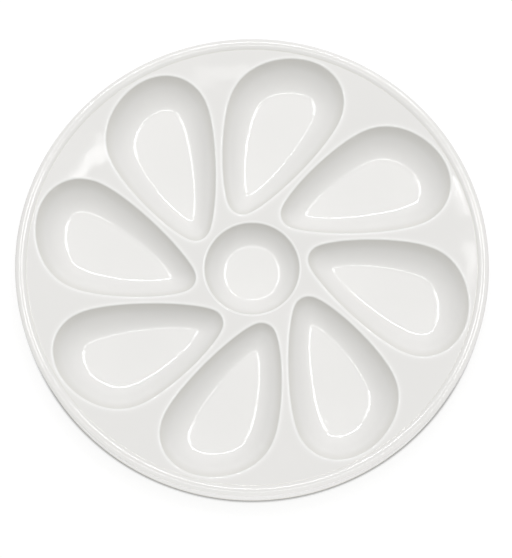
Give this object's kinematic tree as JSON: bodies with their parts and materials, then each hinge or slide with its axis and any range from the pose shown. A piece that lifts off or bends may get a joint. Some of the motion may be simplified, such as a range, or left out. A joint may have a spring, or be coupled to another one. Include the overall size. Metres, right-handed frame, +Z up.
{
  "type": "oyster platter",
  "caption": "Round white porcelain platter with teardrop oyster wells turning in a pinwheel around a central sauce well, inside a low rolled rim on a deep skirt.",
  "frame": {"origin": "centre of the plane that the foot rests on", "axes": "+Z up through the middle of the plate, +X to the right and +Y away from the viewer in the picture's view"},
  "size_m": [0.3, 0.3, 0.0225],
  "materials": {
    "glaze": "glossy",
    "bare_foot": "matte"
  },
  "bodies": {
    "root": {"rim_skirt": "glaze", "foot_ring": "bare_foot", "deck": "glaze", "sauce_well": "glaze", "oyster_well_1": "glaze", "oyster_well_2": "glaze", "oyster_well_3": "glaze", "oyster_well_4": "glaze", "oyster_well_5": "glaze", "oyster_well_6": "glaze", "oyster_well_7": "glaze", "oyster_well_8": "glaze"}
  },
  "joints": []
}
